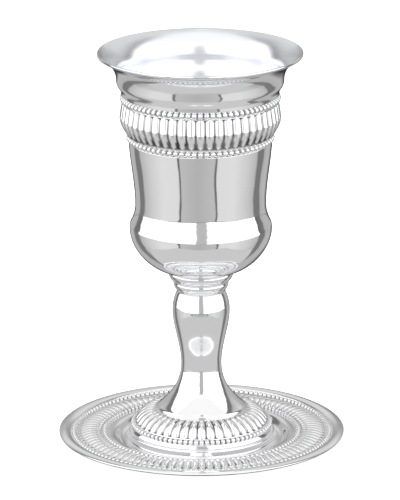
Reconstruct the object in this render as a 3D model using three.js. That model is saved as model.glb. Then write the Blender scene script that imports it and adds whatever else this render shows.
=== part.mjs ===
// A silver-plated kiddush cup standing in the well of its saucer, in millimetres, +Z up.
// The origin is on the axis, at the underside of the saucer.
// Every piece is turned about the axis. The ornament is a band of gadroons or flutes between
// rows of beading, and a row of beading is kept here as a plain half-round moulding.

import * as THREE from "three";

// ---------- driving dimensions ----------

const CUP_HEIGHT = 139.7;
const SHEET = 1.0; // gauge of the saucer, and so the height of its well floor above the table
const RIM = { radius: 35.5, height: SHEET + CUP_HEIGHT, lip: 1.15 };
const BOWL_WALL = 1.05;
const BOWL_SEAT = { radius: 10.9, height: 62.6 }; // flat disc that stands on the collar
const STEM_TOP = { radius: 8.4, height: 55.4 };
const STEM_HOLLOW_TOP = 49.0;
const BELL = { radius: 15.46, wall: 1.3 }; // edge of the stem's bell, where it meets the foot
const FOOT_SEAT = { radius: 16.0, hole: 11.0, height: 12.75 }; // flat top of the foot
const FOOT_RADIUS = 26.6;
const SAUCER_RADIUS = 50.0;
const WELL = { floor: 27.4, edge: 30.93, height: 3.8, underside: 28.0 };

// points in one turn of a plain ring
const BOWL_TURN = 40;
const INSIDE_TURN = 28;
const FOOT_TURN = 44;
const SAUCER_TURN = 50;
const MARGIN_TURN = 52;
const UNDERSIDE_TURN = 36;
const SLIM_TURN = 24;
const TIE = 1e-6; // two edge middles that are closer than this, in edges, stand side by side

// corners: points across one lobe, the first of them in the groove beside it
const BOWL_GADROONS = { count: 52, corners: 3, depth: 0.85 };
const FOOT_GADROONS = { count: 44, corners: 3, depth: 0.75 };
const SAUCER_FLUTES = { count: 100, corners: 2, depth: 0.45 };

// rows of beads: the circle through their middles, their radius, and the way they face, in
// degrees above the horizontal
const UPPER_BEADING = { radius: 26.85, height: 124.65, bead: 1.05, faces: 0 };
const LOWER_BEADING = { radius: 24.8, height: 110.6, bead: 0.95, faces: -10 };
const FOOT_BEADING = { radius: 23.9, height: 7.2, bead: 0.93, faces: 30 };
const INNER_SAUCER_BEADING = { radius: 33.88, height: 3.95, bead: 0.88, faces: 90 };
const OUTER_SAUCER_BEADING = { radius: 44.7, height: 4.05, bead: 0.88, faces: 90 };

// ---------- materials ----------

const spunPlate = new THREE.MeshStandardMaterial({
  color: 0xe6e7ea,
  roughness: 0.12,
  metalness: 1,
});
const castPlate = new THREE.MeshStandardMaterial({
  color: 0xdfe0e4,
  roughness: 0.16,
  metalness: 1,
});

// ---------- profiles: lists of [radius, height] ----------

// A cubic bend from one point to another, without its last point, so that stretches chain.
function bend(from, leave, arrive, to, steps) {
  const [a, b, c, d] = [from, leave, arrive, to].map(([x, y]) => new THREE.Vector2(x, y));
  const curve = new THREE.CubicBezierCurve(a, b, c, d);
  const points = curve.getPoints(steps).slice(0, steps);
  return points.map((point) => [point.x, point.y]);
}

// The half-round moulding that carries a row of beads, in the order down the outside.
function beading({ radius, height, bead, faces }) {
  return [70, 0, -70].map((turn) => {
    const angle = THREE.MathUtils.degToRad(faces + turn);
    return [radius + bead * Math.cos(angle), height + bead * Math.sin(angle)];
  });
}

// ---------- rings: one turn of points about the axis ----------

const axisPoint = (height) => ({ radius: 0, height, count: 1 });

const plainRings = (profile, count) =>
  profile.map(([radius, height]) => ({ radius, height, count }));

// A ring across a band of lobes. Its grooves are sunk by a share of the band's depth, from
// the direction that the band faces, in degrees above the horizontal.
function lobedRing([radius, height], band, share, faces) {
  const angle = THREE.MathUtils.degToRad(faces);
  const depth = band.depth * share;
  return {
    radius,
    height,
    count: band.count * band.corners,
    corners: band.corners,
    sink: [depth * Math.cos(angle), depth * Math.sin(angle)],
  };
}

function ringPoints({ radius, height, count, corners = 1, sink = [0, 0] }) {
  return Array.from({ length: count }, (_, i) => {
    const turn = (2 * Math.PI * i) / count;
    const [inward, down] = i % corners === 0 ? sink : [0, 0];
    const reach = radius - inward;
    return [reach * Math.cos(turn), reach * Math.sin(turn), height - down];
  });
}

// Triangles between two neighbouring rings, which may have different numbers of points: the
// ring whose next edge has its middle first round the axis moves on. A tie is settled by the
// half of the lobe it falls in, which keeps every lobe symmetric.
function stitch(first, second) {
  const faces = [];
  const edges = (ring) => (ring.count > 1 ? ring.count : 0);
  const middle = (ring, step) => (step < edges(ring) ? (step + 0.5) / ring.count : Infinity);
  const point = (ring, step) => ring.start + (step % ring.count);
  let i = 0;
  let j = 0;
  while (i < edges(first) || j < edges(second)) {
    const ahead = middle(first, i) * first.count - middle(second, j) * first.count;
    const tie = Math.abs(ahead) < TIE;
    const firstMoves = tie ? 2 * (i % first.corners) < first.corners - 1 : ahead < 0;
    const corner = [point(first, i), point(second, j)];
    if (firstMoves) {
      i += 1;
      faces.push(...corner, point(first, i));
    } else {
      j += 1;
      faces.push(...corner, point(second, j));
    }
  }
  return faces;
}

// The closed skin of a turned piece. Its rings run down the outside, and they start and end
// on the axis, or close on themselves.
function turnedSkin(rings) {
  const points = [];
  const placed = rings.map((ring) => {
    const start = points.length;
    points.push(...ringPoints(ring));
    return { start, count: ring.count, corners: ring.corners ?? 1 };
  });
  const faces = placed.slice(1).flatMap((ring, i) => stitch(placed[i], ring));
  if (rings[0].radius > 0) {
    faces.push(...stitch(placed[placed.length - 1], placed[0]));
  }
  const geometry = new THREE.BufferGeometry();
  geometry.setAttribute("position", new THREE.Float32BufferAttribute(points.flat(), 3));
  geometry.setIndex(faces);
  geometry.computeVertexNormals();
  return geometry;
}

// A plain turned solid, from a profile that runs from the axis up the outside to the axis.
function turnedSolid(profile) {
  const points = profile.map(([radius, height]) => new THREE.Vector2(radius, height));
  return new THREE.LatheGeometry(points, SLIM_TURN).rotateX(Math.PI / 2);
}

// ---------- bowl: a spun shell, open at the top ----------

const NECK = [28.95, 131.0];
const NECK_FOOT = [27.3, 126.0];
const GADROON_FOOT = [25.35, 111.75];
const BODY_TOP = [24.85, 109.4];
const WAIST = [22.68, 87.0];
const SHOULDER_EDGE = [24.5, 79.95]; // corner between the waist and the bulge
const BULGE = [24.72, 78.4];
const BOWL_UNDER = [11.4, 62.85];

function bowlInside() {
  const floor = BOWL_SEAT.height + 1.5 * BOWL_WALL;
  const bulge = [BULGE[0] - BOWL_WALL, BULGE[1]];
  const waist = [WAIST[0] - BOWL_WALL, WAIST[1] - 0.8];
  const lip = [RIM.radius - 1.5, RIM.height - 0.2];
  const profile = [
    ...bend([10.0, floor], [17.2, floor + 0.7], [23.6, 71.9], bulge, 3),
    ...bend(bulge, [23.67, 80.2], [21.61, 82.4], waist, 2),
    waist,
    [BODY_TOP[0] - BOWL_WALL, BODY_TOP[1]],
    [26.0, 124.0],
    ...bend([27.85, 131.2], [27.85, 135.2], [30.4, 138.3], lip, 3),
    lip,
  ];
  return [axisPoint(floor), ...plainRings(profile, INSIDE_TURN)];
}

function bowlOutside() {
  const underLip = [RIM.radius - 0.4, RIM.height - RIM.lip];
  const top = [
    [RIM.radius - 0.75, RIM.height],
    [RIM.radius, RIM.height - 0.45],
    ...bend(underLip, [31.0, 137.6], [28.95, 134.5], NECK, 4),
    ...bend(NECK, [29.0, 129.6], [27.6, 128.1], NECK_FOOT, 2),
    NECK_FOOT,
  ];
  const body = [
    ...bend(BODY_TOP, [24.4, 102.0], [22.68, 94.0], WAIST, 2),
    ...bend(WAIST, [22.68, 84.3], [23.3, 82.3], SHOULDER_EDGE, 2),
    SHOULDER_EDGE,
    ...bend(BULGE, [24.72, 71.4], [18.4, 64.3], BOWL_UNDER, 4),
    BOWL_UNDER,
    [BOWL_SEAT.radius, BOWL_SEAT.height],
  ];
  return [
    ...plainRings([...top, ...beading(UPPER_BEADING)], BOWL_TURN),
    ...plainRings([[27.05, 123.2]], BOWL_GADROONS.count),
    lobedRing([27.5, 121.2], BOWL_GADROONS, 0.8, 5),
    lobedRing([27.86, 118.0], BOWL_GADROONS, 1.0, 0),
    lobedRing([26.95, 114.2], BOWL_GADROONS, 0.9, -20),
    ...plainRings([GADROON_FOOT], BOWL_GADROONS.count),
    ...plainRings([...beading(LOWER_BEADING), ...body], BOWL_TURN),
    axisPoint(BOWL_SEAT.height),
  ];
}

const bowl = () => turnedSkin([...bowlInside(), ...bowlOutside()]);

// ---------- collar: two stepped rings under the bowl ----------

function collar() {
  return turnedSolid([
    [0, STEM_TOP.height],
    [8.5, STEM_TOP.height],
    [9.3, 56.9],
    [9.6, 58.5],
    [9.4, 58.9],
    [10.2, 59.3],
    [11.0, 60.6],
    [11.35, 62.0],
    [10.9, BOWL_SEAT.height],
    [0, BOWL_SEAT.height],
  ]);
}

// ---------- stem: a hollow baluster that opens into a bell ----------

const SHOULDER = [9.98, 48.5];
const SLENDER = [7.04, 28.8];
const BELL_TOP = [8.9, 20.9];

function stem() {
  const top = [STEM_TOP.radius, STEM_TOP.height];
  const bellInside = [BELL.radius - BELL.wall, FOOT_SEAT.height];
  const shoulderInside = [7.8, 45.5];
  const slenderInside = [SLENDER[0] - BELL.wall, SLENDER[1]];
  return turnedSolid([
    ...bend([0, STEM_HOLLOW_TOP], [5.0, 49.0], [7.8, 48.0], shoulderInside, 2),
    ...bend(shoulderInside, [7.8, 40.0], [5.74, 35.0], slenderInside, 1),
    ...bend(slenderInside, [5.74, 22.0], [8.8, 16.8], bellInside, 4),
    bellInside,
    [BELL.radius - 0.1, FOOT_SEAT.height],
    ...bend([BELL.radius, FOOT_SEAT.height + 0.5], [14.6, 14.4], [9.9, 18.4], BELL_TOP, 4),
    ...bend(BELL_TOP, [7.7, 23.2], [7.04, 25.8], SLENDER, 2),
    ...bend(SLENDER, [7.04, 36.0], [9.98, 42.2], SHOULDER, 4),
    ...bend(SHOULDER, [9.98, 50.9], [9.4, 53.0], top, 3),
    top,
    [0, STEM_TOP.height],
  ]);
}

// ---------- foot: a gadrooned dome over a stepped band, open below ----------

function foot() {
  const seat = plainRings(
    [
      [FOOT_SEAT.hole, FOOT_SEAT.height],
      [FOOT_SEAT.radius, FOOT_SEAT.height],
    ],
    FOOT_TURN,
  );
  const band = [
    [25.15, 4.9],
    [25.6, 4.3],
    [25.6, 2.95],
    [26.0, 2.15],
    [26.5, 1.95],
    [FOOT_RADIUS, 1.5],
    [FOOT_RADIUS - 0.1, SHEET],
  ];
  const inside = [
    [25.4, SHEET],
    [24.4, 4.0],
    [22.6, 6.6],
    [20.6, 9.8],
    [FOOT_SEAT.hole, 11.55],
  ];
  return turnedSkin([
    ...seat,
    lobedRing([19.4, 12.3], FOOT_GADROONS, 0.9, 65),
    lobedRing([22.6, 9.6], FOOT_GADROONS, 1.0, 40),
    ...plainRings([...beading(FOOT_BEADING), ...band], FOOT_TURN),
    ...plainRings(inside, INSIDE_TURN),
  ]);
}

// ---------- saucer: a pressed sheet with a well and a fluted border ----------

function saucer() {
  const edge = [WELL.edge, WELL.height];
  const well = bend([WELL.floor, SHEET], [29.2, SHEET], [29.6, WELL.height - 0.3], edge, 2);
  const marginEnd = [SAUCER_RADIUS - 0.4, 4.75];
  const margin = [
    ...beading(OUTER_SAUCER_BEADING),
    ...bend([45.8, 4.3], [46.6, 5.4], [48.4, 5.6], marginEnd, 2),
    marginEnd,
    [SAUCER_RADIUS, 4.35],
    [SAUCER_RADIUS - 0.3, 4.0],
  ];
  const underside = [
    [47.2, 4.2],
    [45.0, 3.1],
    [40.2, 4.4],
    [34.6, 2.95],
    [31.4, 2.75],
    [28.7, 0.2],
    [WELL.underside, 0],
  ];
  return turnedSkin([
    axisPoint(SHEET),
    ...plainRings([...well, edge, ...beading(INNER_SAUCER_BEADING)], SAUCER_TURN),
    lobedRing([36.8, 5.45], SAUCER_FLUTES, 1.0, 90),
    lobedRing([41.6, 5.3], SAUCER_FLUTES, 1.0, 90),
    ...plainRings(margin, MARGIN_TURN),
    ...plainRings(underside, UNDERSIDE_TURN),
    axisPoint(0),
  ]);
}

// ---------- assembly ----------

function piece(name, geometry, material) {
  const mesh = new THREE.Mesh(geometry, material);
  mesh.name = name;
  return mesh;
}

const kiddushCup = new THREE.Group();
kiddushCup.add(
  piece("bowl", bowl(), spunPlate),
  piece("collar", collar(), castPlate),
  piece("stem", stem(), castPlate),
  piece("foot", foot(), castPlate),
  piece("saucer", saucer(), spunPlate),
);

export default kiddushCup;
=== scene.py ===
"""A silver-plated kiddush cup standing in the well of its saucer.

Every piece is turned about the axis, so each is one grid: rows run along its profile and
columns run round the axis. The ornament is worked into the grid as lobes, and each row of
beads is a string of small balls in the same mesh. Profiles are in millimetres, as lists of
(radius, height above the table)."""

import math

import bpy
import numpy as np
from mathutils import Matrix, Vector


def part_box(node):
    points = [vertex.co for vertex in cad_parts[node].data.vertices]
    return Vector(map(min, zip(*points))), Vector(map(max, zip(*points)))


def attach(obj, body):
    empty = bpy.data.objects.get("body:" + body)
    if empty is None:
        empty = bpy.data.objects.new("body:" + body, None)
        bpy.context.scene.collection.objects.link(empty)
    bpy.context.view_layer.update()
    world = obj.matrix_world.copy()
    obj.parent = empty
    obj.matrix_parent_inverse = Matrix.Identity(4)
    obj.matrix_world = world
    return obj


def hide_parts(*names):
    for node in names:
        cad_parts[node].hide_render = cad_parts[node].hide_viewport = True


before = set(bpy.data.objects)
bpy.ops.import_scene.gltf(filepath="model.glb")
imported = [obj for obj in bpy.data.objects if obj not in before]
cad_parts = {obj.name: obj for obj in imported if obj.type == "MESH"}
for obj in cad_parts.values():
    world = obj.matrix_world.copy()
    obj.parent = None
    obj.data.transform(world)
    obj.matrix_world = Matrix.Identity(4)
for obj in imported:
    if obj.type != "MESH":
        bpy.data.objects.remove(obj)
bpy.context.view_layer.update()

MM = 0.001

# ---------- sizes ----------

SHEET = 1.0  # gauge of the saucer
RIM_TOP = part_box("bowl")[1][2] / MM
BOWL_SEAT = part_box("bowl")[0][2] / MM
STEM_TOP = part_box("stem")[1][2] / MM
FOOT_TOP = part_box("foot")[1][2] / MM
FOOT_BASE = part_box("foot")[0][2] / MM
SAUCER_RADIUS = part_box("saucer")[1][0] / MM

LOBE_COLUMNS = 8  # columns of the grid across one gadroon
FLUTE_COLUMNS = 6  # columns across one flute of the saucer
PLAIN_COLUMNS = 144  # columns round a piece without lobes

SAME_POINT = 0.004  # two points of a profile that are nearer than this are one

BOWL_GADROONS = 52
FOOT_GADROONS = 44
SAUCER_FLUTES = 100

# rows of beads: the circle through their middles, its height, the radius and number of beads
UPPER_BEADS = (26.75, 124.6, 1.08, 80)
LOWER_BEADS = (24.7, 110.6, 0.98, 72)
FOOT_BEADS = (23.9, 7.2, 0.93, 80)
INNER_SAUCER_BEADS = (33.88, 3.95, 0.88, 116)
OUTER_SAUCER_BEADS = (44.7, 4.05, 0.88, 152)
BEAD_COLUMNS = 6  # columns across one bead
BEAD_ROWS = 8  # rows round the string


# ---------- profiles ----------


def bend(start, leave, arrive, end, steps):
    """Cubic curve: each point is the mean of the four given points, weighted by (1-t)^3,
    3t(1-t)^2, 3t^2(1-t) and t^3. The last point is left to the next stretch."""
    t = np.arange(steps)[:, None] / steps
    points = [np.array(p, float) for p in (start, leave, arrive, end)]
    weights = [(1 - t) ** 3, 3 * t * (1 - t) ** 2, 3 * t**2 * (1 - t), t**3]
    return sum(weight * point for weight, point in zip(weights, points))


def eased(corners, ease=0.14):
    """A line through corners, each worn round: a corner becomes a point a little before it,
    one a little after it, and one between them that is pulled halfway out to the corner."""
    corners = np.array(corners, float)
    before, corner, after = corners[:-2], corners[1:-1], corners[2:]
    to_before = before - corner
    to_after = after - corner
    reach_before = np.linalg.norm(to_before, axis=1, keepdims=True)
    reach_after = np.linalg.norm(to_after, axis=1, keepdims=True)
    first = corner + to_before * np.minimum(ease / reach_before, 0.4)
    last = corner + to_after * np.minimum(ease / reach_after, 0.4)
    middle = (first + last + 2 * corner) / 4
    worn = np.stack([first, middle, last], 1).reshape(-1, 2)
    return np.vstack([corners[:1], worn, corners[-1:]])


def profile(*stretches):
    """One profile out of several stretches, without the points that repeat."""
    points = np.vstack([np.atleast_2d(np.asarray(stretch, float)) for stretch in stretches])
    apart = np.linalg.norm(np.diff(points, axis=0), axis=1) > SAME_POINT
    return points[np.append(True, apart)]


# ---------- grids ----------


class Grid:
    """A turned surface, one row per profile point: radii, heights, how deep each point lies in
    a recess, which sets its painted shade and how tarnished it is, and whether it is inside the bowl."""

    def __init__(self, radius, height, recess, inside=0.0):
        self.radius = radius
        self.height = height
        self.recess = recess + np.zeros_like(radius)
        self.inside = inside + np.zeros_like(radius)


def across(columns, lobes):
    """Place of each column across its lobe, from -1 in one groove over 0 on the crest to 1 in
    the next groove: the sine of an even step, so that columns crowd into the grooves."""
    per_lobe = columns // lobes
    step = (np.arange(columns) % per_lobe) * 2 / per_lobe - 1
    return np.sin(step * math.pi / 2)


def angles(columns, lobes):
    """Angle of each column round the axis: its lobe's number plus its place across the lobe."""
    per_lobe = columns // lobes
    lobe = np.arange(columns) // per_lobe
    return (lobe + across(columns, lobes) / 2) * 2 * math.pi / lobes


def plain(points, columns, inside=0.0):
    """Rows that are true circles."""
    turn = np.ones(columns)
    return Grid(points[:, :1] * turn, points[:, 1:] * turn, 0.0, inside)


GROOVE_DARK = 1.15  # the painted shade at the bottom of a groove, where the plate is also a little tarnished, over 1 so that it is even there
GROOVE_CLEARS = 2.4  # how fast the painted shade thins out as the lobe rises
GROOVE_ENDS = 3.0  # how fast it sets in at the ends of the band, where the lobes are low


def lobed(crest, columns, lobes, rise, width, start_round, end_round):
    """A band of lobes whose crests follow a profile. A lobe is a cushion: it stands
    sqrt(e^2 - (t/w)^2) over its ground and its crest stands e over it, where t is the place
    across, w the lobe's half width, which goes from the first to the second value of width
    along the band, and e falls to 0 at each end of the band as a quarter circle."""
    along = np.gradient(crest, axis=0)
    along /= np.linalg.norm(along, axis=1, keepdims=True)
    normal = np.stack([-along[:, 1], along[:, 0]], 1)
    s = np.linspace(0, 1, len(crest))[:, None]
    start = np.clip(s / start_round, 0, 1)
    end = np.clip((1 - s) / end_round, 0, 1)
    e = np.sqrt(1 - (1 - start) ** 2) * np.sqrt(1 - (1 - end) ** 2)
    w = width[0] + (width[1] - width[0]) * s
    t = across(columns, lobes)[None, :]
    cushion = np.sqrt(np.maximum(e**2 - (t / w) ** 2, 0))
    sink = rise * (e - cushion)
    radius = crest[:, :1] - normal[:, :1] * sink
    height = crest[:, 1:] - normal[:, 1:] * sink
    # Painted shade in the grooves, where the plate is also a little tarnished: darkest at a groove's bottom,
    # thinning as the lobe rises and towards the ends of the band.
    groove = np.clip(GROOVE_DARK - GROOVE_CLEARS * cushion / np.maximum(e, 0.01), 0, 1)
    return Grid(radius, height, groove * np.clip(GROOVE_ENDS * e, 0, 1))


TOUCHING_STARTS = 0.5417  # where the painted shade between two beads begins, from middle to edge
TOUCHING_GROWS = 2.4


def beads(circle, height, size, count):
    """A string of balls round the axis: a ring whose thickness follows one ball after the
    other, sqrt(size^2 - distance^2), and never falls under a third of the ball's radius."""
    place = across(count * BEAD_COLUMNS, count)
    distance = place * math.pi * circle / count
    thick = np.sqrt(np.maximum(size**2 - distance**2, (size / 3) ** 2))
    turn = -2 * math.pi * np.arange(BEAD_ROWS)[:, None] / BEAD_ROWS
    # Painted shade where two beads meet.
    touching = np.clip((np.abs(place) - TOUCHING_STARTS) * TOUCHING_GROWS, 0, 1)
    return Grid(circle + np.cos(turn) * thick, height + np.sin(turn) * thick, touching)


def stack(*grids):
    """One grid out of several, row under row."""
    fields = ("radius", "height", "recess", "inside")
    return Grid(*(np.vstack([getattr(grid, field) for grid in grids]) for field in fields))


def skin(grid, lobes, ring):
    """Points, faces and marks (recess, inside) of a grid. Faces point out where the profile
    runs down the outside. A ring joins its last row to its first; otherwise the grid starts
    and ends on the axis, and its end rows are closed with a fan round one middle point."""
    rows, columns = grid.radius.shape
    angle = angles(columns, lobes)
    points = np.stack([grid.radius * np.cos(angle), grid.radius * np.sin(angle), grid.height], 2)
    points = points.reshape(-1, 3)
    marks = np.stack([grid.recess, grid.inside], 2).reshape(-1, 2)
    index = np.arange(rows * columns).reshape(rows, columns)
    if ring:
        index = np.vstack([index, index[:1]])
    right = np.roll(index, -1, axis=1)
    quads = np.stack([index[:-1], index[1:], right[1:], right[:-1]], 2).reshape(-1, 4)
    if ring:
        return points, quads.tolist(), marks
    middles = np.array([[0, 0, grid.height[0].mean()], [0, 0, grid.height[-1].mean()]])
    first, last = len(points), len(points) + 1
    start_fan = np.stack([np.full(columns, first), index[0], right[0]], 1)
    end_fan = np.stack([np.full(columns, last), right[-1], index[-1]], 1)
    faces = quads.tolist() + start_fan.tolist() + end_fan.tolist()
    return np.vstack([points, middles]), faces, np.vstack([marks, marks[[0, -1]]])


def bead_skin(circle, height, size, count):
    return skin(beads(circle, height, size, count), count, ring=True)


def make_piece(name, node, material, skins):
    """One mesh object out of skins, in metres, which stands for a node of the frame."""
    points, faces, marks = [], [], []
    offset = 0
    for skin_points, skin_faces, skin_marks in skins:
        points.append(skin_points * MM)
        faces.extend([[corner + offset for corner in face] for face in skin_faces])
        marks.append(skin_marks)
        offset += len(skin_points)
    mesh = bpy.data.meshes.new(name)
    mesh.from_pydata(np.vstack(points), [], faces)
    for label, values in zip(("recess", "inside"), np.vstack(marks).T):
        layer = mesh.attributes.new(label, "FLOAT", "POINT")
        layer.data.foreach_set("value", values.astype(np.float32))
    mesh.polygons.foreach_set("use_smooth", np.ones(len(mesh.polygons), bool))
    mesh.materials.append(material)
    mesh.update()
    piece = bpy.data.objects.new(name, mesh)
    bpy.context.scene.collection.objects.link(piece)
    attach(piece, "root")
    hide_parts(node)


# ---------- materials ----------


def link(tree, source, target):
    tree.links.new(source, target)


def math_node(tree, operation, first, second=None):
    node = tree.nodes.new("ShaderNodeMath")
    node.operation = operation
    for socket, value in zip(node.inputs, (first, second)):
        if value is None:
            continue
        if isinstance(value, (int, float)):
            socket.default_value = value
        else:
            link(tree, value, socket)
    return node.outputs[0]


def step_node(tree, value, low, high, out_low=0.0, out_high=1.0):
    """Smooth step of a value from low to high."""
    node = tree.nodes.new("ShaderNodeMapRange")
    node.interpolation_type = "SMOOTHSTEP"
    link(tree, value, node.inputs["Value"])
    node.inputs["From Min"].default_value = low
    node.inputs["From Max"].default_value = high
    node.inputs["To Min"].default_value = out_low
    node.inputs["To Max"].default_value = out_high
    return node.outputs["Result"]


def mix_value(tree, factor, first, second):
    node = tree.nodes.new("ShaderNodeMix")
    node.data_type = "FLOAT"
    for socket, value in zip((node.inputs[0], node.inputs[2], node.inputs[3]), (factor, first, second)):
        if isinstance(value, (int, float)):
            socket.default_value = value
        else:
            link(tree, value, socket)
    return node.outputs[0]


def noise_node(tree, vector, scale, detail=2.0):
    node = tree.nodes.new("ShaderNodeTexNoise")
    link(tree, vector, node.inputs["Vector"])
    if isinstance(scale, (int, float)):
        node.inputs["Scale"].default_value = scale
    else:
        link(tree, scale, node.inputs["Scale"])
    node.inputs["Detail"].default_value = detail
    return node.outputs["Fac"]


def new_group(name, inputs, outputs):
    group = bpy.data.node_groups.new(name, "ShaderNodeTree")
    for label, kind, value in inputs:
        socket = group.interface.new_socket(label, in_out="INPUT", socket_type=kind)
        if value is not None:
            socket.default_value = value
    for label, kind in outputs:
        group.interface.new_socket(label, in_out="OUTPUT", socket_type=kind)
    return group, group.nodes.new("NodeGroupInput").outputs, group.nodes.new("NodeGroupOutput").inputs


ANGLE_SHARE = 0.0012  # metres along a mark for each radian round the axis


def turning_marks():
    """Faint lines that run round the axis, as spinning and buffing leave them: noise that
    changes quickly with radius and height and slowly with the angle."""
    group, given, put = new_group(
        "turning_marks",
        [("Fineness", "NodeSocketFloat", 900.0)],
        [("Marks", "NodeSocketFloat")],
    )
    place = group.nodes.new("ShaderNodeTexCoord").outputs["Object"]
    split = group.nodes.new("ShaderNodeSeparateXYZ")
    link(group, place, split.inputs[0])
    x, y, z = split.outputs
    square = math_node(
        group,
        "ADD",
        math_node(group, "MULTIPLY", x, x),
        math_node(group, "MULTIPLY", y, y),
    )
    radius = math_node(group, "SQRT", square)
    angle = math_node(group, "MULTIPLY", math_node(group, "ARCTAN2", y, x), ANGLE_SHARE)
    joined = group.nodes.new("ShaderNodeCombineXYZ")
    for source, socket in zip((radius, z, angle), joined.inputs):
        link(group, source, socket)
    link(group, noise_node(group, joined.outputs[0], given["Fineness"], 3.0), put["Marks"])
    return group


def painted_shade_and_tarnish():
    """Painted shade where the plate is also a little tarnished: darker and rougher in the recesses
    of the ornament, between beads and on the saucer's turned-under edge, more in some places than in others."""
    group, given, put = new_group(
        "painted_shade_and_tarnish",
        [("Recess", "NodeSocketFloat", 0.0), ("Amount", "NodeSocketFloat", 1.0)],
        [("Mask", "NodeSocketFloat")],
    )
    place = group.nodes.new("ShaderNodeTexCoord").outputs["Object"]
    patches = step_node(group, noise_node(group, place, 160.0, 3.0), 0.3, 0.7, 0.7, 1.0)
    mask = math_node(group, "MULTIPLY", given["Recess"], patches)
    link(group, math_node(group, "MULTIPLY", mask, given["Amount"]), put["Mask"])
    return group


def hand_polish():
    """What a cloth leaves on plate: soft waves in the surface and a haze that comes and goes."""
    group, given, put = new_group(
        "hand_polish",
        [("Wave", "NodeSocketFloat", 70.0)],
        [("Waves", "NodeSocketFloat"), ("Haze", "NodeSocketFloat")],
    )
    place = group.nodes.new("ShaderNodeTexCoord").outputs["Object"]
    link(group, noise_node(group, place, given["Wave"], 1.0), put["Waves"])
    link(group, step_node(group, noise_node(group, place, 45.0, 4.0), 0.35, 0.75), put["Haze"])
    return group


MARKS = turning_marks()
# painted shade and some tarnishing in the recesses
SHADE_AND_TARNISH = painted_shade_and_tarnish()
POLISH = hand_polish()


def place_group(tree, group, **values):
    node = tree.nodes.new("ShaderNodeGroup")
    node.node_tree = group
    for label, value in values.items():
        node.inputs[label].default_value = value
    return node


def mix_colour(tree, factor, first, second):
    node = tree.nodes.new("ShaderNodeMix")
    node.data_type = "RGBA"
    link(tree, factor, node.inputs[0])
    for socket, value in zip((node.inputs[6], node.inputs[7]), (first, second)):
        if isinstance(value, tuple):
            socket.default_value = (*value, 1)
        else:
            link(tree, value, socket)
    return node.outputs[2]


def attribute(tree, name):
    node = tree.nodes.new("ShaderNodeAttribute")
    node.attribute_name = name
    return node.outputs["Fac"]


SATIN = (0.93, 0.94, 0.98)  # the plate inside the bowl
SATIN_ROUGHNESS = 0.26
DULL_ROUGHNESS = 0.42  # roughness where the recess mask of painted shade and tarnishing falls


def silver_plate(name, clean, shade_and_tarnish_colour, roughness, haze, wave, wave_height, mark_height, fineness):
    """Polished silver plate: clean colour, the dark colour painted as shade in the recesses,
    where the plate is also a little tarnished, roughness where it is bright and where it is hazy,
    and relief in millimetres from the waves of polishing and the marks of turning. Wave and
    fineness are how many of them a metre holds, roughly."""
    material = bpy.data.materials.new(name)
    material.use_nodes = True
    tree = material.node_tree
    shader = tree.nodes["Principled BSDF"]
    shader.inputs["Metallic"].default_value = 1.0

    inside = attribute(tree, "inside")
    # the recess mask: painted shade, and some tarnishing
    shade_mask = place_group(tree, SHADE_AND_TARNISH, Amount=1.0)
    link(tree, attribute(tree, "recess"), shade_mask.inputs["Recess"])
    polish = place_group(tree, POLISH, Wave=wave)
    marks = place_group(tree, MARKS, Fineness=fineness)

    colour = mix_colour(tree, inside, clean, SATIN)
    # Painted shade: the recess mask darkens the colour nearly to black in grooves, between beads and on the
    # saucer's turned-under edge.
    colour = mix_colour(tree, shade_mask.outputs["Mask"], colour, shade_and_tarnish_colour)
    link(tree, colour, shader.inputs["Base Color"])

    gloss = mix_value(tree, polish.outputs["Haze"], roughness, haze)
    gloss = mix_value(tree, inside, gloss, SATIN_ROUGHNESS)
    gloss = mix_value(tree, shade_mask.outputs["Mask"], gloss, DULL_ROUGHNESS)
    link(tree, gloss, shader.inputs["Roughness"])

    waves = math_node(tree, "MULTIPLY", polish.outputs["Waves"], wave_height)
    lines = math_node(tree, "MULTIPLY", marks.outputs["Marks"], mark_height)
    relief = tree.nodes.new("ShaderNodeBump")
    relief.inputs["Strength"].default_value = 1.0
    relief.inputs["Distance"].default_value = MM
    link(tree, math_node(tree, "ADD", waves, lines), relief.inputs["Height"])
    link(tree, relief.outputs["Normal"], shader.inputs["Normal"])
    return material


spun_plate = silver_plate(
    "spun_plate",
    clean=(0.93, 0.932, 0.94),
    # near-black painted shade of the recesses, with some tarnishing
    shade_and_tarnish_colour=(0.03, 0.029, 0.028),
    roughness=0.05,
    haze=0.085,
    wave=60.0,
    wave_height=0.35,
    mark_height=0.004,
    fineness=900.0,
)
cast_plate = silver_plate(
    "cast_plate",
    clean=(0.91, 0.912, 0.92),
    # near-black painted shade of the recesses, with some tarnishing
    shade_and_tarnish_colour=(0.025, 0.024, 0.023),
    roughness=0.06,
    haze=0.10,
    wave=110.0,
    wave_height=0.12,
    mark_height=0.003,
    fineness=700.0,
)

# ---------- bowl ----------

BOWL_COLUMNS = BOWL_GADROONS * LOBE_COLUMNS
NECK = (28.95, 131.0)
BODY_TOP = (24.83, 108.9)
WAIST = (22.68, 87.0)
SHOULDER_EDGE = (24.55, 79.85)
BULGE = (24.72, 78.4)
BOWL_UNDER = (11.6, 62.9)


def bowl_inside():
    """Up the inside of the shell, from the middle of its floor to the lip."""
    return profile(
        bend((0.5, 64.2), (14.0, 64.2), (23.67, 68.5), (23.67, 78.3), 12),
        bend((23.67, 78.3), (23.67, 80.6), (21.61, 82.9), (21.61, 86.0), 8),
        bend((21.61, 86.0), (21.61, 94.0), (23.0, 104.0), (23.4, 112.0), 4),
        bend((23.4, 112.0), (23.9, 117.0), (24.8, 121.0), (25.2, 125.0), 5),
        bend((25.2, 125.0), (25.6, 128.4), (27.95, 128.6), (27.95, 132.0), 8),
        bend((27.95, 132.0), (27.95, 135.2), (30.4, 138.6), (34.4, RIM_TOP - 0.35), 14),
    )


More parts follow.
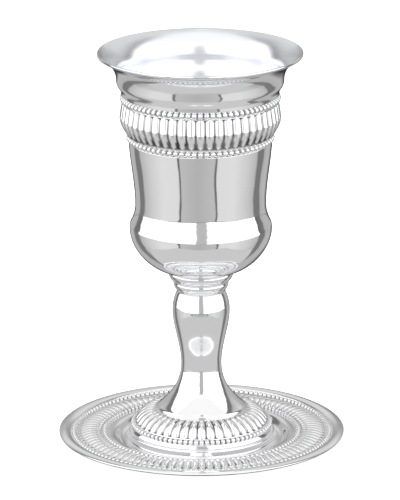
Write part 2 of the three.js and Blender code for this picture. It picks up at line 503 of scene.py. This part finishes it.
def bowl_lip():
    """Over the rolled lip and back under it."""
    return eased(
        [
            (34.4, RIM_TOP - 0.35),
            (35.0, RIM_TOP),
            (35.42, RIM_TOP - 0.12),
            (35.5, RIM_TOP - 0.6),
            (35.3, RIM_TOP - 1.15),
            (34.9, RIM_TOP - 1.3),
        ],
        0.2,
    )


def bowl():
    neck = profile(
        bend((34.75, RIM_TOP - 1.32), (31.0, 137.6), (28.95, 134.5), NECK, 20),
        bend(NECK, (29.0, 130.1), (28.7, 129.4), (28.2, 128.75), 7),
        eased([(28.2, 128.75), (27.42, 127.5), (27.3, 126.6), (27.25, 125.9), (26.6, 125.5)], 0.3),
        eased([(26.6, 125.5), (26.6, 123.7), (26.95, 123.5), (26.95, 123.35)]),
    )
    gadroons = profile(
        bend((26.95, 123.3), (27.3, 122.6), (27.55, 120.2), (27.86, 118.0), 12),
        bend((27.86, 118.0), (28.1, 116.3), (26.6, 113.9), (25.3, 111.7), 16),
    )
    body = profile(
        eased([(25.25, 111.65), (24.4, 111.4), (24.3, 109.7), (24.87, 109.45), (24.85, 109.15), BODY_TOP]),
        bend(BODY_TOP, (24.4, 102.0), (22.68, 94.0), WAIST, 10),
        bend(WAIST, (22.68, 84.3), (23.3, 82.3), (24.5, 79.95), 13),
        eased([(24.5, 79.95), SHOULDER_EDGE, (24.7, 79.2), BULGE], 0.35),
        bend((24.72, 78.2), (24.72, 71.4), (18.4, 64.3), BOWL_UNDER, 22),
        eased([BOWL_UNDER, (11.0, BOWL_SEAT), (0.5, BOWL_SEAT)]),
    )
    return stack(
        plain(bowl_inside(), BOWL_COLUMNS, inside=1.0),
        plain(bowl_lip(), BOWL_COLUMNS),
        plain(neck, BOWL_COLUMNS),
        lobed(gadroons, BOWL_COLUMNS, BOWL_GADROONS, 1.0, (1.0, 0.9), 0.15, 0.6),
        plain(body, BOWL_COLUMNS),
    )


make_piece(
    "bowl_spun",
    "bowl",
    spun_plate,
    [
        skin(bowl(), BOWL_GADROONS, ring=False),
        bead_skin(*UPPER_BEADS),
        bead_skin(*LOWER_BEADS),
    ],
)

# ---------- collar ----------


def collar():
    return eased(
        [
            (0.5, BOWL_SEAT),
            (10.95, BOWL_SEAT),
            (11.3, 62.2),
            (11.35, 61.7),
            (11.1, 60.9),
            (10.6, 59.9),
            (10.0, 59.3),
            (9.45, 59.0),
            (9.35, 58.7),
            (9.65, 58.3),
            (9.5, 57.5),
            (9.1, 56.6),
            (8.6, 55.9),
            (8.4, STEM_TOP),
            (0.5, STEM_TOP),
        ]
    )


make_piece(
    "collar_rings",
    "collar",
    cast_plate,
    [skin(plain(collar(), PLAIN_COLUMNS), 1, ring=False)],
)

# ---------- stem ----------

SHOULDER = (9.98, 48.5)
SLENDER = (7.04, 28.8)
BELL_TOP = (9.0, 20.7)
BELL_EDGE = 15.46


def stem():
    """Down the outside of the baluster and its bell, then up the hollow inside it."""
    return profile(
        eased([(0.5, STEM_TOP), (8.3, STEM_TOP), (8.45, STEM_TOP - 0.1)]),
        bend((8.5, 55.2), (9.4, 53.0), (9.98, 50.9), SHOULDER, 14),
        bend(SHOULDER, (9.98, 42.4), (7.04, 35.8), SLENDER, 30),
        bend(SLENDER, (7.04, 25.6), (7.9, 22.9), BELL_TOP, 14),
        bend(BELL_TOP, (9.75, 19.05), (12.9, 15.3), (15.2, 13.6), 22),
        eased(
            [
                (15.2, 13.6),
                (BELL_EDGE, 13.1),
                (BELL_EDGE - 0.05, FOOT_TOP),
                (14.2, FOOT_TOP),
                (14.1, 13.0),
            ]
        ),
        bend((14.0, 13.1), (8.6, 16.8), (5.74, 22.0), (5.74, 28.8), 16),
        bend((5.74, 28.8), (5.74, 36.0), (7.9, 40.0), (7.9, 45.5), 12),
        bend((7.9, 45.5), (7.9, 48.0), (5.0, 49.0), (0.5, 49.0), 8),
    )


make_piece(
    "stem_baluster",
    "stem",
    cast_plate,
    [skin(plain(stem(), PLAIN_COLUMNS), 1, ring=False)],
)

# ---------- foot ----------

FOOT_COLUMNS = FOOT_GADROONS * LOBE_COLUMNS
FOOT_HOLE = 11.0


def foot():
    seat = eased([(FOOT_HOLE, 12.3), (FOOT_HOLE, FOOT_TOP), (15.7, FOOT_TOP), (16.0, FOOT_TOP - 0.05)])
    dome = bend((16.1, 12.7), (20.2, 12.8), (22.3, 10.6), (23.5, 7.9), 28)
    steps = profile(
        eased([(23.4, 7.8), (23.0, 7.4), (23.2, 6.6), (24.2, 6.5), (24.5, 6.35), (24.9, 5.6), (25.2, 4.95)]),
        eased([(25.2, 4.95), (25.05, 4.7), (25.5, 4.55), (25.66, 4.2), (25.62, 3.1), (25.7, 2.56)]),
        eased([(25.75, 2.45), (26.06, 2.1), (26.5, 1.95), (26.6, 1.5), (26.5, FOOT_BASE), (25.4, FOOT_BASE)]),
        bend((25.3, 1.1), (24.2, 5.0), (21.5, 9.0), (19.0, 11.2), 14),
        eased([(19.0, 11.2), (17.5, 11.55), (FOOT_HOLE, 11.55), (FOOT_HOLE, 12.2)]),
    )
    return stack(
        plain(seat, FOOT_COLUMNS),
        lobed(dome, FOOT_COLUMNS, FOOT_GADROONS, 0.9, (0.9, 1.0), 0.16, 0.2),
        plain(steps, FOOT_COLUMNS),
    )


make_piece(
    "foot_dome",
    "foot",
    cast_plate,
    [
        skin(foot(), FOOT_GADROONS, ring=True),
        bead_skin(*FOOT_BEADS),
    ],
)

# ---------- saucer ----------

SAUCER_COLUMNS = SAUCER_FLUTES * FLUTE_COLUMNS
WELL_RADIUS = 27.35
EDGE = SAUCER_RADIUS
EDGE_SHADE = 0.9  # painted shade on the turned-under edge, standing for the dark table it reflects


def saucer():
    well = profile(
        eased([(0.5, SHEET), (20.0, SHEET), (WELL_RADIUS, SHEET)]),
        bend((WELL_RADIUS, SHEET), (29.2, SHEET), (29.5, 3.7), (30.93, 3.8), 12),
        eased([(30.93, 3.8), (32.9, 3.8), (33.1, 3.55), (34.6, 3.55), (34.75, 3.9)]),
    )
    flutes = bend((34.8, 4.0), (36.8, 6.4), (40.8, 5.6), (43.7, 4.0), 24)
    margin = profile(
        eased([(43.75, 3.95), (43.9, 3.65), (45.4, 3.65), (45.6, 4.2)]),
        bend((45.75, 4.4), (46.6, 5.3), (48.4, 5.6), (EDGE - 0.4, 4.72), 12),
        eased([(EDGE - 0.4, 4.72), (EDGE, 4.37), (EDGE - 0.2, 4.0), (EDGE - 1.0, 4.2)]),
        bend((EDGE - 1.1, 4.2), (46.5, 4.4), (45.5, 2.9), (44.2, 2.9), 8),
        bend((44.2, 2.9), (41.0, 4.2), (37.5, 4.4), (34.5, 2.9), 10),
        bend((34.5, 2.9), (33.0, 2.9), (32.0, 2.9), (31.3, 2.8), 4),
        bend((31.3, 2.8), (30.1, 2.7), (29.9, 0.0), (28.0, 0.0), 10),
        eased([(28.0, 0.0), (14.0, 0.0), (0.5, 0.0)]),
    )
    grid = stack(
        plain(well, SAUCER_COLUMNS),
        lobed(flutes, SAUCER_COLUMNS, SAUCER_FLUTES, 0.6, (1.0, 1.0), 0.12, 0.14),
        plain(margin, SAUCER_COLUMNS),
    )
    # Painted shade on the turned-under edge of the saucer, for the dark table it reflects.
    turned_under = (grid.radius > EDGE - 1.2) & (grid.height < 4.4)
    grid.recess[turned_under] = EDGE_SHADE
    return grid


make_piece(
    "saucer_pressed",
    "saucer",
    spun_plate,
    [
        skin(saucer(), SAUCER_FLUTES, ring=False),
        bead_skin(*INNER_SAUCER_BEADS),
        bead_skin(*OUTER_SAUCER_BEADS),
    ],
)

# ---------- floor ----------


FLOOR = 3.0  # half the floor's width, in metres
CARD_LOW = (-0.12, -0.16)
CARD_HIGH = (0.12, 0.015)
CARD_HEIGHT = -0.0004


def make_sheet(name, low, high, height, albedo, glow):
    """A flat pale sheet from a low corner to a high one, in metres, which glows a little."""
    mesh = bpy.data.meshes.new(name)
    corners = [(low[0], low[1]), (high[0], low[1]), (high[0], high[1]), (low[0], high[1])]
    mesh.from_pydata([(x, y, height) for x, y in corners], [], [(0, 1, 2, 3)])
    material = bpy.data.materials.new(name)
    material.use_nodes = True
    shader = material.node_tree.nodes["Principled BSDF"]
    shader.inputs["Base Color"].default_value = (albedo, albedo, albedo, 1)
    shader.inputs["Roughness"].default_value = 1.0
    shader.inputs["Specular IOR Level"].default_value = 0.0
    shader.inputs["Emission Color"].default_value = (1, 1, 1, 1)
    shader.inputs["Emission Strength"].default_value = glow
    mesh.materials.append(material)
    sheet = bpy.data.objects.new(name, mesh)
    bpy.context.scene.collection.objects.link(sheet)
    return sheet


def make_floor():
    """A pale table top, seen and lit but left out of the reflections in the plate."""
    floor = make_sheet("floor", (-FLOOR, -FLOOR), (FLOOR, FLOOR), 0.0, albedo=0.9, glow=0.62)
    floor.visible_glossy = False


def make_card():
    """A white card that lies in front of the cup for its reflection alone."""
    card = make_sheet("card", CARD_LOW, CARD_HIGH, CARD_HEIGHT, albedo=0.0, glow=0.62)
    card.visible_camera = False
    card.visible_diffuse = False
    card.visible_shadow = False


make_floor()
make_card()

# ---------- studio ----------

WALL_LIGHT = 1.45
GAP_LIGHT = 0.52
CEILING_LIGHT = 1.04
UNDER_LIGHT = 0.68  # the table straight under a surface
EDGE_LIGHT = 0.22  # the dark edge of the cloth where it meets the table
FLAG_LIGHT = 0.05  # a small black flag behind the cup
FLAG_DIRECTION = (0.0, 0.96, -0.28)
FLAG_SPREAD = (21, 12)  # degrees from its middle to where it ends and to where it is black
FOLD_SIZE = 5.0
FOLD_DEPTH = 9.0  # degrees that a fold may move an edge sideways
FOLD_SAG = 0.3  # share of that which it moves an edge up or down
TURNED_AWAY = 5.0  # degrees between the middle of the cloth and the lens

# where one surface of the tent gives way to the next: bearings from the front and climbs
# over the horizon, in degrees, from where the change begins to where it is done
BACK_RISES = (12.0, 26.0)
WALL_ENDS = (112.0, 114.5)
GAP_SIDES = (8.0, 11.5)
GAP_TOP = (42.0, 52.0)
CEILING_BACK = (100.0, 140.0)
CEILING_FROM = (50.0, 68.0)  # the climb of the ceiling's edge in front, and at the back
CEILING_BLEND = (-4.0, 6.0)
TABLE_TURNS = (-40.0, -32.0)
TABLE_UNDER = (-74.0, -58.0)
TABLE_ENDS = (-10.0, -8.6)
CLOTH_EDGE_LOW = (-10.8, -10.1)
CLOTH_EDGE_HIGH = (-9.4, -8.7)
CLOTH_EDGE_FRONT = (30.0, 60.0)
CLOTH_EDGE_SHARE = 0.45  # how much of the dark edge is left at the sides

# light along the bearing from the front, in degrees
BACK_LOW = [(0, 0.2), (114, 0.15), (120, 0.16), (129, 0.2), (132, 0.46), (152, 0.5), (180, 0.3)]
BACK_HIGH = [(0, 0.3), (114, 0.18), (125, 0.2), (130, 0.5), (150, 0.75), (165, 0.72), (180, 0.6)]
TABLE_FAR = [
    (0, 0.47),
    (29, 0.54),
    (31, 0.14),
    (33, 0.14),
    (34.5, 0.76),
    (64, 0.78),
    (88, 0.66),
    (110, 0.5),
    (113.5, 0.2),
    (129, 0.2),
    (132, 0.46),
    (152, 0.5),
    (162, 0.22),
    (180, 0.05),
]
TABLE_NEAR = [
    (0, 0.52),
    (34, 0.54),
    (48, 0.64),
    (88, 0.58),
    (110, 0.42),
    (114, 0.22),
    (128, 0.22),
    (132, 0.46),
    (180, 0.5),
]


def ramp(tree, value, stops):
    """A light that changes along a value: stops are (value, light) with values from 0 to 180."""
    node = tree.nodes.new("ShaderNodeValToRGB")
    link(tree, math_node(tree, "DIVIDE", value, 180.0), node.inputs[0])
    while len(node.color_ramp.elements) < len(stops):
        node.color_ramp.elements.new(0.5)
    for element, (place, light) in zip(node.color_ramp.elements, stops):
        element.position = place / 180
        element.color = (light, light, light, 1)
    to_value = tree.nodes.new("ShaderNodeRGBToBW")
    link(tree, node.outputs[0], to_value.inputs[0])
    return to_value.outputs[0]


def make_studio():
    """A light tent round the table, told by direction: bright cloth walls at the front and
    sides with a gap for the lens, a dimmer back with a small black flag, a soft ceiling, and
    the table top below. The cloth hangs in folds, so its edges wander a little."""
    world = bpy.data.worlds.new("studio")
    bpy.context.scene.world = world
    world.use_nodes = True
    tree = world.node_tree
    degrees = math.degrees(1)

    direction = tree.nodes.new("ShaderNodeTexCoord").outputs["Generated"]
    split = tree.nodes.new("ShaderNodeSeparateXYZ")
    link(tree, direction, split.inputs[0])
    x, y, z = split.outputs
    folds = math_node(tree, "SUBTRACT", noise_node(tree, direction, FOLD_SIZE), 0.5)
    folds = math_node(tree, "MULTIPLY", folds, FOLD_DEPTH)
    to_front = math_node(tree, "MULTIPLY", y, -1.0)
    bearing = math_node(tree, "MULTIPLY", math_node(tree, "ARCTAN2", x, to_front), degrees)
    bearing = math_node(tree, "ADD", bearing, folds)
    off_lens = math_node(tree, "ABSOLUTE", bearing)
    off_front = math_node(tree, "ABSOLUTE", math_node(tree, "ADD", bearing, TURNED_AWAY))
    climb = math_node(tree, "MULTIPLY", math_node(tree, "ARCSINE", z), degrees)
    climb = math_node(tree, "ADD", climb, math_node(tree, "MULTIPLY", folds, FOLD_SAG))

    back = mix_value(
        tree,
        step_node(tree, climb, *BACK_RISES),
        ramp(tree, off_front, BACK_LOW),
        ramp(tree, off_front, BACK_HIGH),
    )
    front = step_node(tree, off_front, *WALL_ENDS, 1.0, 0.0)
    walls = mix_value(tree, front, back, WALL_LIGHT)
    gap = math_node(
        tree,
        "MULTIPLY",
        step_node(tree, off_lens, *GAP_SIDES, 1.0, 0.0),
        step_node(tree, climb, *GAP_TOP, 1.0, 0.0),
    )
    walls = mix_value(tree, gap, walls, GAP_LIGHT)
    ceiling_edge = step_node(tree, off_front, *CEILING_BACK, *CEILING_FROM)
    over_edge = math_node(tree, "SUBTRACT", climb, ceiling_edge)
    walls = mix_value(tree, step_node(tree, over_edge, *CEILING_BLEND), walls, CEILING_LIGHT)

    table = mix_value(
        tree,
        step_node(tree, climb, *TABLE_TURNS),
        ramp(tree, off_front, TABLE_NEAR),
        ramp(tree, off_front, TABLE_FAR),
    )
    table = mix_value(tree, step_node(tree, climb, *TABLE_UNDER), UNDER_LIGHT, table)
    light = mix_value(tree, step_node(tree, climb, *TABLE_ENDS), table, walls)
    cloth_edge = math_node(
        tree,
        "MULTIPLY",
        step_node(tree, climb, *CLOTH_EDGE_LOW),
        step_node(tree, climb, *CLOTH_EDGE_HIGH, 1.0, 0.0),
    )
    in_front = step_node(tree, off_front, *CLOTH_EDGE_FRONT, 1.0, CLOTH_EDGE_SHARE)
    light = mix_value(tree, math_node(tree, "MULTIPLY", cloth_edge, in_front), light, EDGE_LIGHT)

    nearness = tree.nodes.new("ShaderNodeVectorMath")
    nearness.operation = "DOT_PRODUCT"
    link(tree, direction, nearness.inputs[0])
    nearness.inputs[1].default_value = FLAG_DIRECTION
    ends, black = (math.cos(math.radians(spread)) for spread in FLAG_SPREAD)
    flag = step_node(tree, nearness.outputs["Value"], ends, black)
    light = mix_value(tree, flag, light, FLAG_LIGHT)

    lens = tree.nodes.new("ShaderNodeLightPath").outputs["Is Camera Ray"]
    light = mix_value(tree, lens, light, 1.0)
    colour = tree.nodes.new("ShaderNodeCombineColor")
    for socket in colour.inputs[:3]:
        link(tree, light, socket)
    link(tree, colour.outputs[0], tree.nodes["Background"].inputs["Color"])


make_studio()

# ---------- camera ----------

TARGET = Vector((0, 0, 0.0698))
DISTANCE = 1.5804
FOCAL_LENGTH = 327.5
SENSOR_WIDTH = 36.0
SHIFT = -0.0018
ELEVATION = math.radians(16.283)
ROLL = math.radians(0.22)


def make_camera():
    data = bpy.data.cameras.new("camera")
    data.lens = FOCAL_LENGTH
    data.sensor_width = SENSOR_WIDTH
    data.shift_x = SHIFT
    data.clip_end = 20.0
    camera = bpy.data.objects.new("camera", data)
    bpy.context.scene.collection.objects.link(camera)
    back = Vector((0, -math.cos(ELEVATION), math.sin(ELEVATION)))
    turn = back.to_track_quat("Z", "Y").to_matrix().to_4x4()
    place = Matrix.Translation(TARGET + back * DISTANCE)
    camera.matrix_world = place @ turn @ Matrix.Rotation(-ROLL, 4, "Z")
    bpy.context.scene.camera = camera


make_camera()
bpy.context.scene.view_settings.view_transform = "Standard"
